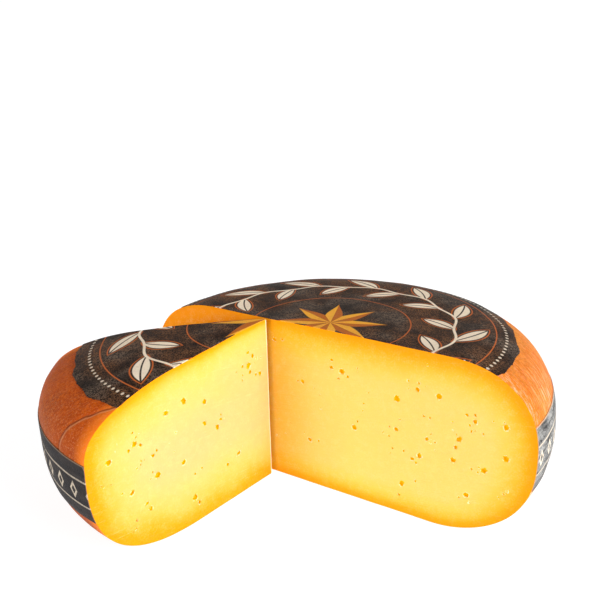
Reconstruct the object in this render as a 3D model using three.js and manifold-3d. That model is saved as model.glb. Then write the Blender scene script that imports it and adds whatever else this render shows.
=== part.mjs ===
// A round smoked cheese that has been cut open. One piece is a little more than half of the wheel.
// The other is a wedge that stands with its point at the cut face, so the two keep the round of the
// wheel around an open notch. Both are solid paste inside a coloured rind, and both carry their
// share of two tissue labels: a torn round one on the top and a plain band around the side.
//
// Millimetres, +Z up. The large cut face runs along X and looks along -Y. The origin is on the
// floor, in the middle of the area that the two pieces take up together.

import * as THREE from 'three';
import { mergeVertices } from 'three/addons/utils/BufferGeometryUtils.js';
import Module from 'manifold-3d';

const wasm = await Module();
wasm.setup();

const DEGREE = Math.PI / 180;

// The wheel: 250 mm across, with a flat base, rounded shoulders and a nearly flat top.
const WHEEL_RADIUS = 125;

// Each cross section: the height of the middle and of the widest place, how far the top's middle
// rises above its flat and how wide that crown is, the radii of the flats, and how square the two
// shoulders are, sideways and upwards. A round shoulder is 2 and 2.
const HALF_SECTION = {
  height: 98.1,
  waist: 52.9,
  crown: 0.2,
  crownReach: 45,
  crownSteps: 2,
  topFlat: 70.3,
  baseFlat: 70.1,
  upperShoulder: [2.76, 2.28],
  lowerShoulder: [1.95, 2.34],
};
const WEDGE_SECTION = {
  height: 98.4,
  waist: 58.0,
  crown: 4.8,
  crownReach: 45,
  crownSteps: 5,
  topFlat: 50.7,
  baseFlat: 56.9,
  upperShoulder: [1.71, 3.12],
  lowerShoulder: [2.49, 2.81],
};

// Cuts: the large piece goes 11 mm past the wheel's middle. The wedge is 52 degrees wide.
const PAST_MIDDLE = 11;
const WEDGE_ANGLE = 52 * DEGREE;

// Where the wedge's point stands, from the middle of the large piece, and which way it reaches.
const WEDGE_POINT = [-33.6, -13.5];
const WEDGE_TURN = 238.8 * DEGREE;

// Labels: their thickness, and the space below them.
const LABEL_GAP = 0.3;
const LABEL_THICKNESS = 0.5;
const HALF_LABEL_RADIUS = 102.7;
const WEDGE_LABEL_RADIUS = 105.5;
const HALF_BAND = [35.7, 70.6];
const WEDGE_BAND = [32.9, 63.9];

// The torn edge of the round label: waves of [how many around, how deep, phase].
const TORN_WAVES = [
  [9, 0.8, 0.4],
  [23, 0.7, 2.1],
  [41, 0.5, 4.0],
];
const TORN_STEPS = 144;

// Gas holes, in groups of [place along the cut face, height, how many, how far they spread].
const HALF_HOLES = [
  [-98, 58, 4, 12],
  [-70, 36, 4, 12],
  [-62, 72, 3, 10],
  [-31, 86, 2, 7],
  [-12, 64, 2, 6],
  [-8, 28, 3, 12],
  [14, 76, 6, 9],
  [22, 44, 3, 8],
  [48, 68, 1, 0],
  [48, 50, 4, 7],
  [52, 18, 3, 10],
  [60, 76, 4, 6],
  [66, 49, 4, 6],
  [62, 38, 3, 6],
  [72, 75, 1, 0],
  [84, 54, 4, 6],
  [81, 41, 1, 0],
  [89, 23, 2, 5],
  [92, 66, 6, 6],
  [98, 40, 3, 4],
  [108, 67, 2, 4],
  [109, 50, 1, 0],
];
const WEDGE_FRONT_HOLES = [
  [17, 76, 7, 8],
  [8, 68, 2, 4],
  [28, 26, 3, 10],
  [43, 49, 3, 7],
  [51, 67, 1, 0],
  [52, 55, 1, 0],
  [62, 15, 3, 9],
  [65, 73, 3, 4],
  [68, 39, 1, 0],
  [77, 71, 1, 0],
  [87, 52, 4, 5],
  [85, 40, 2, 3],
  [91, 24, 2, 5],
  [97, 63, 5, 5],
  [101, 38, 3, 4],
  [112, 60, 3, 5],
];
const WEDGE_BACK_HOLES = [
  [24, 68, 4, 10],
  [44, 34, 5, 14],
  [60, 66, 6, 12],
  [80, 42, 6, 12],
  [96, 64, 5, 9],
  [104, 30, 3, 6],
];

// How tall a group's first hole and its other holes are, how wide they are for their height, and
// how far out of the whole spread the others lie. A hole's middle is a little below the cut face.
// Two holes keep apart by this share of their heights together.
const FIRST_HOLE = [2.2, 3.2];
const OTHER_HOLE = [1.0, 2.4];
const HOLE_WIDTH = [0.7, 1.0];
const HOLE_REACH = [0.35, 1.0];
const HOLE_SINK = 0.12;
const HOLE_SPACE = 0.7;

// Smaller holes than this are not cut.
const LEAST_HOLE = 1.6;

// Where the draws for each cut face start.
const HALF_SEED = 11;
const WEDGE_FRONT_SEED = 29;
const WEDGE_BACK_SEED = 47;

// How finely the round shapes are faceted.
const ROUND_STEPS = 80;
const LOWER_STEPS = 12;
const UPPER_STEPS = 13;

// A length past every side of the wheel, for cutting tools.
const BEYOND = 200;

const cheese = new THREE.MeshStandardMaterial({ color: 0xf2c14e, roughness: 0.5, metalness: 0 });
const roundTissue = new THREE.MeshStandardMaterial({ color: 0x2c201c, roughness: 0.75, metalness: 0 });
const bandTissue = new THREE.MeshStandardMaterial({ color: 0x5b5450, roughness: 0.75, metalness: 0 });

// A rounded shoulder, from the end of a flat to the widest place.
class Shoulder extends THREE.Curve {
  constructor(flat, edgeHeight, waist, [sideways, upwards]) {
    super();
    Object.assign(this, { flat, edgeHeight, waist, sideways, upwards });
  }

  getPoint(t) {
    const angle = t * Math.PI / 2;
    const reach = Math.sin(angle) ** (2 / this.sideways);
    const rise = Math.cos(angle) ** (2 / this.upwards);
    const radius = this.flat + (WHEEL_RADIUS - this.flat) * reach;
    return new THREE.Vector2(radius, this.waist + (this.edgeHeight - this.waist) * rise);
  }
}

// One side of a cross section, from the middle of the base round to the middle of the top.
function sectionLine(section) {
  const { height, waist, crown, crownReach, crownSteps, topFlat, baseFlat } = section;
  const edge = height - crown;
  const lower = new Shoulder(baseFlat, 0, waist, section.lowerShoulder);
  const upper = new Shoulder(topFlat, edge, waist, section.upperShoulder);
  const top = upper.getSpacedPoints(UPPER_STEPS).reverse().slice(1);
  for (let i = crownSteps - 1; i >= 0; i -= 1) {
    top.push(new THREE.Vector2(topFlat * i / crownSteps, edge));
  }
  for (const point of top) point.y += crown * Math.exp(-((point.x / crownReach) ** 2));
  return [new THREE.Vector2(0, 0), ...lower.getSpacedPoints(LOWER_STEPS), ...top];
}

// The same line moved outwards, square to itself.
function movedOut(line, distance) {
  return line.map((point, i) => {
    const before = line[Math.max(i - 1, 0)];
    const after = line[Math.min(i + 1, line.length - 1)];
    const along = point.x > 0 ? after.clone().sub(before).normalize() : new THREE.Vector2(-1, 0);
    return new THREE.Vector2(point.x + along.y * distance, point.y - along.x * distance);
  });
}

// A closed geometry as a solid that can be cut. Faces that a pole has made into lines are dropped.
function solidOf(geometry) {
  geometry.deleteAttribute('normal');
  geometry.deleteAttribute('uv');
  const merged = mergeVertices(geometry);
  const corners = merged.index.array;
  const faces = [];
  for (let i = 0; i < corners.length; i += 3) {
    const [a, b, c] = corners.slice(i, i + 3);
    if (a !== b && b !== c && c !== a) faces.push(a, b, c);
  }
  const vertProperties = merged.attributes.position.array;
  const triVerts = new Uint32Array(faces);
  return new wasm.Manifold(new wasm.Mesh({ numProp: 3, vertProperties, triVerts }));
}

function meshOf(name, solid, material) {
  const { vertProperties, triVerts } = solid.getMesh();
  const geometry = new THREE.BufferGeometry();
  geometry.setAttribute('position', new THREE.BufferAttribute(vertProperties, 3));
  geometry.setIndex(new THREE.BufferAttribute(triVerts, 1));
  const mesh = new THREE.Mesh(geometry, material);
  mesh.name = name;
  return mesh;
}

// A line turned about the wheel's upright axis.
function turned(line) {
  return solidOf(new THREE.LatheGeometry(line, ROUND_STEPS).rotateX(Math.PI / 2));
}

// An outline on the floor, raised past the top of the wheel and sunk below its base.
function upright(outline) {
  const shape = new THREE.Shape(outline);
  const settings = { depth: BEYOND, bevelEnabled: false };
  return solidOf(new THREE.ExtrudeGeometry(shape, settings).translate(0, 0, -BEYOND / 4));
}

// What is left of the wheel on the far side of the large cut.
function largeCut() {
  return upright([
    new THREE.Vector2(-BEYOND, -PAST_MIDDLE),
    new THREE.Vector2(BEYOND, -PAST_MIDDLE),
    new THREE.Vector2(BEYOND, BEYOND),
    new THREE.Vector2(-BEYOND, BEYOND),
  ]);
}

// The wedge's share of the wheel, with its middle line along X.
function wedgeCut() {
  const side = (angle) => new THREE.Vector2(BEYOND * Math.cos(angle), BEYOND * Math.sin(angle));
  return upright([new THREE.Vector2(0, 0), side(-WEDGE_ANGLE / 2), side(WEDGE_ANGLE / 2)]);
}

// The torn round of the top label, seen from above.
function tornOutline(radius) {
  const outline = [];
  for (let i = 0; i < TORN_STEPS; i += 1) {
    const angle = i / TORN_STEPS * 2 * Math.PI;
    const waves = TORN_WAVES.map(([count, depth, phase]) => depth * Math.sin(count * angle + phase));
    const reach = waves.reduce((sum, wave) => sum + wave, radius);
    outline.push(new THREE.Vector2(reach * Math.cos(angle), reach * Math.sin(angle)));
  }
  return outline;
}

// The top label, lying over the crown and the first part of the shoulder.
function roundLabel(section, radius, cut) {
  const spare = 8;
  const covered = sectionLine(section).filter((p) => p.y > section.waist && p.x < radius + spare);
  const under = movedOut(covered, LABEL_GAP);
  const over = movedOut(covered, LABEL_GAP + LABEL_THICKNESS);
  const sheet = turned([...under.reverse(), ...over]);
  return sheet.intersect(upright(tornOutline(radius))).intersect(cut);
}

// The point of a section line at a height on its side.
function pointAtHeight(line, height) {
  const next = line.findIndex((point) => point.y > height);
  const [below, above] = [line[next - 1], line[next]];
  return below.clone().lerp(above, (height - below.y) / (above.y - below.y));
}

// The band around the side, between two heights.
function sideBand(section, [low, high], cut) {
  const line = sectionLine(section);
  const between = line.filter((point) => point.y > low && point.y < high);
  const covered = [pointAtHeight(line, low), ...between, pointAtHeight(line, high)];
  const under = movedOut(covered, LABEL_GAP);
  const over = movedOut(covered, LABEL_GAP + LABEL_THICKNESS);
  return turned([...over, ...under.reverse(), over[0].clone()]).intersect(cut);
}

// Repeatable draws between 0 and 1.
function drawsFrom(seed) {
  let state = seed;
  return () => {
    state = (Math.imul(state, 1664525) + 1013904223) >>> 0;
    return state / 2 ** 32;
  };
}

// Gas holes of a cut face: the first of each group is the largest, the rest lie around it. One that
// would run into another is left out.
function holesOf(groups, seed) {
  const draw = drawsFrom(seed);
  const within = ([low, high]) => low + (high - low) * draw();
  const holes = [];
  for (const [along, height, count, spread] of groups) {
    for (let i = 0; i < count; i += 1) {
      const direction = 2 * Math.PI * draw();
      const reach = i === 0 ? 0 : spread * within(HOLE_REACH);
      const tall = within(i === 0 ? FIRST_HOLE : OTHER_HOLE);
      const hole = {
        along: along + reach * Math.cos(direction),
        height: height + reach * Math.sin(direction),
        wide: tall * within(HOLE_WIDTH),
        tall,
        lean: Math.PI * draw(),
      };
      const clear = (other) => {
        const apart = Math.hypot(other.along - hole.along, other.height - hole.height);
        return apart > (other.tall + hole.tall) * HOLE_SPACE;
      };
      if (holes.every(clear)) holes.push(hole);
    }
  }
  return holes;
}

// The holes that are large enough to be cut, on an upright face that starts at a foot point and
// runs at an angle from X. Inwards is 1 where the paste lies to the left of that run, -1 to the right.
function holeTools(holes, foot, faceAngle, inwards) {
  const cut = holes.filter((hole) => hole.tall >= LEAST_HOLE);
  return cut.map((hole) => {
    const tool = new THREE.IcosahedronGeometry(0.5);
    tool.scale(hole.wide, hole.tall, hole.tall);
    tool.rotateY(hole.lean);
    tool.translate(hole.along, inwards * hole.tall * HOLE_SINK, hole.height);
    tool.rotateZ(faceAngle);
    return solidOf(tool.translate(...foot, 0));
  });
}

// The whole wheel with holes inside it, then the share of it that a cut leaves.
function cutWheel(section, tools, cut) {
  return turned(sectionLine(section)).subtract(wasm.Manifold.union(tools)).intersect(cut);
}

function largePiece() {
  const cut = largeCut();
  const tools = holeTools(holesOf(HALF_HOLES, HALF_SEED), [0, -PAST_MIDDLE], 0, 1);
  const body = cutWheel(HALF_SECTION, tools, cut);
  const group = new THREE.Group();
  group.add(
    meshOf('half_wheel', body, cheese),
    meshOf('half_top_label', roundLabel(HALF_SECTION, HALF_LABEL_RADIUS, cut), roundTissue),
    meshOf('half_side_label', sideBand(HALF_SECTION, HALF_BAND, cut), bandTissue),
  );
  return group;
}

function wedgePiece() {
  const cut = wedgeCut();
  const frontHoles = holesOf(WEDGE_FRONT_HOLES, WEDGE_FRONT_SEED);
  const backHoles = holesOf(WEDGE_BACK_HOLES, WEDGE_BACK_SEED);
  const front = holeTools(frontHoles, [0, 0], WEDGE_ANGLE / 2, -1);
  const back = holeTools(backHoles, [0, 0], -WEDGE_ANGLE / 2, 1);
  const body = cutWheel(WEDGE_SECTION, [...front, ...back], cut);
  const group = new THREE.Group();
  group.add(
    meshOf('wedge', body, cheese),
    meshOf('wedge_top_label', roundLabel(WEDGE_SECTION, WEDGE_LABEL_RADIUS, cut), roundTissue),
    meshOf('wedge_side_label', sideBand(WEDGE_SECTION, WEDGE_BAND, cut), bandTissue),
  );
  group.position.set(...WEDGE_POINT, 0);
  group.rotation.z = WEDGE_TURN;
  return group;
}

// Both pieces, moved together so that the origin is in the middle of their floor area.
const pieces = new THREE.Group();
pieces.add(largePiece(), wedgePiece());
const middle = new THREE.Box3().setFromObject(pieces, true).getCenter(new THREE.Vector3());
pieces.position.set(-middle.x, -middle.y, 0);

const smokedCheese = new THREE.Group();
smokedCheese.add(pieces);

export default smokedCheese;
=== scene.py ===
"""A smoked gouda wheel, cut open: more than half of it, and a narrow wedge at its cut face."""

import math

import bpy
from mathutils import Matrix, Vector


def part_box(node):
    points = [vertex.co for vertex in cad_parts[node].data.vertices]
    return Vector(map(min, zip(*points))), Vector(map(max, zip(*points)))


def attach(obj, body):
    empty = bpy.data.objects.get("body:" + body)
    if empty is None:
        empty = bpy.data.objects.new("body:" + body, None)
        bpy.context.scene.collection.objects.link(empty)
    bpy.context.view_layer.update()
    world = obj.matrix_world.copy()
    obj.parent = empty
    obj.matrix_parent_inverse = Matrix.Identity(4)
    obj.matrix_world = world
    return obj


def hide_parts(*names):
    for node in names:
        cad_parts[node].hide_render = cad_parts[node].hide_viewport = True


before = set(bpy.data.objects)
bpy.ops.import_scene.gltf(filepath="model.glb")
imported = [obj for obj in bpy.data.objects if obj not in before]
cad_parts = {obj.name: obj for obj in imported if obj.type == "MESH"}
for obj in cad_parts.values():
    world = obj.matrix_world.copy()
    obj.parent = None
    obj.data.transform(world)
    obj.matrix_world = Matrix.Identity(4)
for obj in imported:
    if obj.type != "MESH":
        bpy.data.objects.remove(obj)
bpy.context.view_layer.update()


# ----------------------------
# The cheese. Two pieces of one pressed wheel, firm yellow paste inside a thin orange-brown coat.
# A wire cut them, so the cut faces are nearly flat, with small gas holes laid open in them.
# Sizes are millimetres from the wheel's own middle; the trees scale to metres at their end.
# ----------------------------

RIGHT_ANGLE = math.pi / 2
FULL_TURN = 2 * math.pi
METRES = 0.001

WHEEL_RADIUS = 125.0
CROWN_REACH = 45.0
HALF_SECTION = {
    "Height": 98.1,
    "Waist": 52.9,
    "Crown": 0.2,
    "Top Flat": 70.3,
    "Base Flat": 70.1,
    "Upper Sideways": 2.76,
    "Upper Upwards": 2.28,
    "Lower Sideways": 1.95,
    "Lower Upwards": 2.34,
}
WEDGE_SECTION = {
    "Height": 98.4,
    "Waist": 58.0,
    "Crown": 4.8,
    "Top Flat": 50.7,
    "Base Flat": 56.9,
    "Upper Sideways": 1.71,
    "Upper Upwards": 3.12,
    "Lower Sideways": 2.49,
    "Lower Upwards": 2.81,
}

# Places along a section: 0 is the middle of the base, 1 the middle of the top.
BASE_EDGE = 0.1
WAIST_LINE = 0.42
TOP_EDGE = 0.76

# How far the large cut passes the wheel's middle, and how wide each piece opens from its point.
PAST_MIDDLE = 11.0
HALF_OPENING = math.pi
WEDGE_OPENING = math.radians(52)
WEDGE_TURN = math.radians(238.8)

# The rind swells and sinks a little in long waves, less so near the floor.
BULGE_LENGTH = 42.0
BULGE_DEPTH = 1.5
BULGE_FADE = 18.0

HALF_STEPS = 480
WEDGE_STEPS = 960
ALONG_STEPS = 170


class Wire:
    """A socket of a node tree. Arithmetic on wires adds Math nodes; node adds any other node."""

    def __init__(self, tree, socket=None):
        self.tree = tree
        self.socket = socket

    def node(self, kind, settings=None, inputs=None, output=0):
        """A wire from a new node, its settings made first and its sockets filled after them."""
        added = self.tree.nodes.new(kind)
        for name, value in (settings or {}).items():
            if name == "stops":
                self.set_stops(added.color_ramp.elements, value)
            else:
                setattr(added, name, value)
        for key, value in (inputs or {}).items():
            self.fill(found(added.inputs, key), value)
        return Wire(self.tree, found(added.outputs, output))

    def fill(self, socket, value):
        """Gives a socket a number, a wire, or several wires."""
        for one in value if isinstance(value, list) else [value]:
            if isinstance(one, Wire):
                self.tree.links.new(one.socket, socket)
            else:
                socket.default_value = one

    @staticmethod
    def set_stops(elements, stops):
        while len(elements) < len(stops):
            elements.new(1.0)
        for element, (position, tint) in zip(elements, stops):
            element.position = position
            element.color = tint

    def other(self, output):
        """Another output of the node that this wire comes from."""
        return Wire(self.tree, found(self.socket.node.outputs, output))

    def maths(self, operation, *others):
        """A Math node on this wire and any others."""
        inputs = dict(enumerate((self, *others)))
        return self.node("ShaderNodeMath", {"operation": operation}, inputs)

    def second(self, operation, value):
        """A Math node that takes the value first and this wire second."""
        return self.node("ShaderNodeMath", {"operation": operation}, {0: value, 1: self})

    def between(self, low, high):
        """0 at low, 1 at high, straight between them and level outside."""
        return ((self - low) / (high - low)).clamped()

    def clamped(self):
        return self.node("ShaderNodeClamp", None, {"Value": self})

    def parts(self):
        """The X, Y and Z of a vector."""
        x = self.node("ShaderNodeSeparateXYZ", None, {0: self})
        return x, x.other("Y"), x.other("Z")

    def __add__(self, value):
        return self.maths("ADD", value)

    def __sub__(self, value):
        return self.maths("SUBTRACT", value)

    def __mul__(self, value):
        return self.maths("MULTIPLY", value)

    def __truediv__(self, value):
        return self.maths("DIVIDE", value)

    def __pow__(self, value):
        return self.maths("POWER", value)

    def __gt__(self, value):
        return self.maths("GREATER_THAN", value)

    def __lt__(self, value):
        return self.maths("LESS_THAN", value)

    def __neg__(self):
        return self.maths("MULTIPLY", -1.0)

    def __abs__(self):
        return self.maths("ABSOLUTE")

    def __radd__(self, value):
        return self.second("ADD", value)

    def __rsub__(self, value):
        return self.second("SUBTRACT", value)

    def __rmul__(self, value):
        return self.second("MULTIPLY", value)

    def __rtruediv__(self, value):
        return self.second("DIVIDE", value)


def found(sockets, key):
    """A socket by its number, identifier or name."""
    if isinstance(key, int):
        return sockets[key]
    for socket in sockets:
        if socket.identifier == key:
            return socket
    return sockets[key]


def new_tree(name, inputs):
    """A Geometry Nodes tree with a geometry output, and a wire from each of its named inputs."""
    tree = bpy.data.node_groups.new(name, "GeometryNodeTree")
    tree.interface.new_socket("Geometry", in_out="OUTPUT", socket_type="NodeSocketGeometry")
    for label, kind in inputs.items():
        tree.interface.new_socket(label, in_out="INPUT", socket_type="NodeSocket" + kind)
    entry = tree.nodes.new("NodeGroupInput")
    return Wire(tree), {label: Wire(tree, found(entry.outputs, label)) for label in inputs}


def vector(x, y, z):
    """A vector from numbers and one wire or more."""
    wire = next(value for value in (x, y, z) if isinstance(value, Wire))
    return wire.node("ShaderNodeCombineXYZ", None, {"X": x, "Y": y, "Z": z})


def noise(place, length, detail=2.0, output=0):
    """Noise whose waves are about as long as length, from 0 to 1 around a half."""
    inputs = {"Vector": place, "Scale": 1.0 / length, "Detail": detail}
    return place.node("ShaderNodeTexNoise", None, inputs, output)


def waves(place, length, detail=2.0):
    """The same noise around zero, from a half below to a half above."""
    return noise(place, length, detail) - 0.5


def stretched(place, lengths):
    """A place divided by a length for each direction, so that noise on it is drawn out."""
    return place.node("ShaderNodeVectorMath", {"operation": "DIVIDE"}, {0: place, 1: lengths})


def shoulder(turn, flat, rise, sideways, upwards):
    """A rounded shoulder as its share outwards and upwards, and its slope outwards and upwards."""
    out = turn.maths("SINE") ** (2 / sideways)
    up = turn.maths("COSINE").clamped() ** (2 / upwards)
    out_slope = out ** (sideways - 1) * sideways / (WHEEL_RADIUS - flat)
    up_slope = up ** (upwards - 1) * upwards / rise
    return out, up, out_slope, up_slope


def skin(size, around, along, lift):
    """A point of the wheel's outside, lifted square to it, from its places round and along."""
    lower = along.between(BASE_EDGE, WAIST_LINE) * RIGHT_ANGLE
    upper = along.between(TOP_EDGE, WAIST_LINE) * RIGHT_ANGLE
    above = along > WAIST_LINE
    waist = size["Waist"]
    edge = size["Height"] - size["Crown"]
    base, top = size["Base Flat"], size["Top Flat"]
    low = shoulder(lower, base, waist, size["Lower Sideways"], size["Lower Upwards"])
    high = shoulder(upper, top, edge - waist, size["Upper Sideways"], size["Upper Upwards"])

    low_radius = base * along.between(0, BASE_EDGE) + (WHEEL_RADIUS - base) * low[0]
    high_radius = top * along.between(1, TOP_EDGE) + (WHEEL_RADIUS - top) * high[0]
    radius = low_radius + above * (high_radius - low_radius)
    share = radius / CROWN_REACH
    crown = size["Crown"] * (-(share * share)).maths("EXPONENT")
    low_height = waist * (1 - low[1])
    high_height = waist + (edge - waist) * high[1] + crown
    height = low_height + above * (high_height - low_height)

    outwards = low[2] + above * (high[2] - low[2])
    upwards = above * (high[3] + low[3]) - low[3]
    length = (outwards * outwards + upwards * upwards) ** 0.5
    angle = around * FULL_TURN
    cosine = angle.maths("COSINE")
    sine = angle.maths("SINE")
    plain = vector(radius * cosine, radius * sine, height)
    bulge = waves(plain, BULGE_LENGTH) * BULGE_DEPTH * height.between(0, BULGE_FADE)
    lifted = radius + (bulge + lift) * outwards / length
    return vector(lifted * cosine, lifted * sine, height + (bulge + lift) * upwards / length)


# The wire's path: the block of space that a piece keeps, fanned out from its point.
KNIFE_REACH = 170.0
KNIFE_LOW = -12.0
KNIFE_HIGH = 118.0
KNIFE_STEPS = (69, 15, 53)
TIP_ROUND = 0.7
WAVER_LENGTH = 24.0
WAVER_DEPTH = 0.5
DRAG_LENGTHS = (90.0, 90.0, 4.0)
DRAG_DEPTH = 0.16
WELD = 0.001


def flat_sheet(wire, around, along):
    """A flat sheet of so many cells, and each point's share of the way round and along."""
    inputs = {"Size X": 1.0, "Size Y": 1.0, "Vertices X": around + 1, "Vertices Y": along + 1}
    sheet = wire.node("GeometryNodeMeshGrid", None, inputs)
    x, y, _ = wire.node("GeometryNodeInputPosition").parts()
    return sheet, x + 0.5, y + 0.5


def shaped(geometry, place):
    """The geometry with its points moved to their place, and those that meet there made one."""
    inputs = {"Geometry": geometry, "Position": place}
    geometry = geometry.node("GeometryNodeSetPosition", None, inputs)
    inputs = {"Geometry": geometry, "Distance": WELD}
    return geometry.node("GeometryNodeMergeByDistance", None, inputs)


def raised(geometry, direction, height):
    """The geometry with its points moved by a height in a direction."""
    inputs = {0: direction, "Scale": height}
    offset = geometry.node("ShaderNodeVectorMath", {"operation": "SCALE"}, inputs)
    return geometry.node("GeometryNodeSetPosition", None, {"Geometry": geometry, "Offset": offset})


def kept_space(size):
    """The space that a piece keeps when the wheel is cut, with the wire's small wavering."""
    wire = size["Opening"]
    steps = dict(zip(("Vertices X", "Vertices Y", "Vertices Z"), KNIFE_STEPS))
    block = wire.node("GeometryNodeMeshCube", None, {"Size": (1, 1, 1), **steps})
    x, y, z = wire.node("GeometryNodeInputPosition").parts()
    swing = y * size["Opening"]
    half_opening = size["Opening"] * 0.5
    tip = TIP_ROUND / half_opening.maths("SINE")
    side = tip * swing.maths("SINE")
    bow = (TIP_ROUND ** 2 - side * side).maths("MAXIMUM", 0.0) ** 0.5
    reach = tip * swing.maths("COSINE") - bow + (x + 0.5) * KNIFE_REACH
    angle = swing + size["Facing"]
    across = reach * angle.maths("COSINE")
    beyond = reach * angle.maths("SINE") - size["Past Middle"]
    height = KNIFE_LOW + (z + 0.5) * (KNIFE_HIGH - KNIFE_LOW)
    fan = shaped(block, vector(across, beyond, height))
    here = wire.node("GeometryNodeInputPosition")
    waver = waves(here, WAVER_LENGTH) * WAVER_DEPTH
    drag = waves(stretched(here, DRAG_LENGTHS), 1.0) * DRAG_DEPTH
    return raised(fan, wire.node("GeometryNodeInputNormal"), waver + drag)


def joined(operation, first, second):
    """A Boolean of closed meshes: what both hold, what either holds, or the first less the second."""
    inputs = {0: first, 1: second} if operation == "DIFFERENCE" else {1: [first, second]}
    settings = {"operation": operation, "solver": "MANIFOLD"}
    return first.node("GeometryNodeMeshBoolean", settings, inputs)


def stored(geometry, name, value, domain="POINT", kind="FLOAT"):
    """The geometry with a named attribute that the materials read."""
    inputs = {"Geometry": geometry, "Name": name, "Value": value}
    settings = {"data_type": kind, "domain": domain}
    return geometry.node("GeometryNodeStoreNamedAttribute", settings, inputs)


def attribute(wire, name, kind="FLOAT"):
    """A named attribute, in a geometry tree."""
    return wire.node("GeometryNodeInputNamedAttribute", {"data_type": kind}, {"Name": name})


def set_down(geometry, size):
    """The piece turned, moved to its place on the floor and scaled to metres, as plain mesh."""
    inputs = {
        "Geometry": geometry,
        "Translation": size["Place"],
        "Rotation": vector(0.0, 0.0, size["Turn"]),
        "Scale": (METRES, METRES, METRES),
    }
    geometry = geometry.node("GeometryNodeTransform", None, inputs)
    return geometry.node("GeometryNodeRealizeInstances", None, {"Geometry": geometry})


def ended(wire, geometry):
    """Ends a tree in this geometry."""
    way_out = wire.tree.nodes.new("NodeGroupOutput")
    wire.tree.links.new(geometry.socket, way_out.inputs[0])
    return wire.tree


SECTION_INPUTS = {name: "Float" for name in HALF_SECTION}
CUT_INPUTS = {"Opening": "Float", "Facing": "Float", "Past Middle": "Float"}
PLACE_INPUTS = {"Turn": "Float", "Place": "Vector"}

# Gas holes: for each point of a cloud a lumpy ball, and a wider flat one that opens its mouth.
BALL_FINENESS = 3
HOLE_LUMP_LENGTH = 1.4
HOLE_LUMP_DEPTH = 1.4
MOUTH_WIDE = 1.5
MOUTH_DEEP = 0.2
CRUMB_FACES = 500


def lumpy_balls(cloud, size):
    """A ball of this size and turn at each point of a cloud, a little out of shape."""
    inputs = {"Radius": 0.5, "Subdivisions": BALL_FINENESS}
    ball = cloud.node("GeometryNodeMeshIcoSphere", None, inputs)
    turn = attribute(cloud, "turn", "FLOAT_VECTOR")
    inputs = {
        "Points": cloud,
        "Instance": ball,
        "Rotation": cloud.node("FunctionNodeEulerToRotation", None, {"Euler": turn}),
        "Scale": size,
    }
    balls = cloud.node("GeometryNodeInstanceOnPoints", None, inputs)
    balls = cloud.node("GeometryNodeRealizeInstances", None, {"Geometry": balls})
    lumps = noise(cloud.node("GeometryNodeInputPosition"), HOLE_LUMP_LENGTH, 1.0, "Color")
    inputs = {0: lumps, 1: (0.5, 0.5, 0.5)}
    lumps = cloud.node("ShaderNodeVectorMath", {"operation": "SUBTRACT"}, inputs)
    return raised(balls, lumps, HOLE_LUMP_DEPTH)


def without_crumbs(piece):
    """The piece without the loose crumbs that the holes leave."""
    settings = {"data_type": "INT", "domain": "FACE"}
    inputs = {"Value": 1, "Group Index": piece.node("GeometryNodeInputMeshIsland")}
    faces = piece.node("GeometryNodeAccumulateField", settings, inputs, "Total")
    inputs = {"Geometry": piece, "Selection": faces < CRUMB_FACES}
    return piece.node("GeometryNodeDeleteGeometry", {"domain": "FACE"}, inputs)


# A long crease runs slantwise over the wedge's shoulder, where its cloth folded in the press.
CREASE_ACROSS = (0.395, 0.919, 0.0)
CREASE_REACH = 77.4
CREASE_WAVER = 3.0
CREASE_WAVER_LENGTH = 9.0
CREASE_LOW = 50.0
CREASE_WIDE = 1.7
CREASE_DEPTH = 0.3


def beside_crease(place):
    """How far a point lies past the crease's middle, and 1 where there is a crease at all."""
    inputs = {0: place, 1: CREASE_ACROSS}
    across = place.node("ShaderNodeVectorMath", {"operation": "DOT_PRODUCT"}, inputs, "Value")
    _, y, z = place.parts()
    waver = waves(place, CREASE_WAVER_LENGTH) * CREASE_WAVER
    return across + waver - CREASE_REACH, (y > 0.0) * (z > CREASE_LOW)


def creased(wheel, size):
    """The wheel with its crease pressed in."""
    beside, there = beside_crease(wheel.node("GeometryNodeInputPosition"))
    sunk = abs(beside).between(CREASE_WIDE, 0.0) * there * size["Crease"] * -CREASE_DEPTH
    return raised(wheel, wheel.node("GeometryNodeInputNormal"), sunk)


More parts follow.
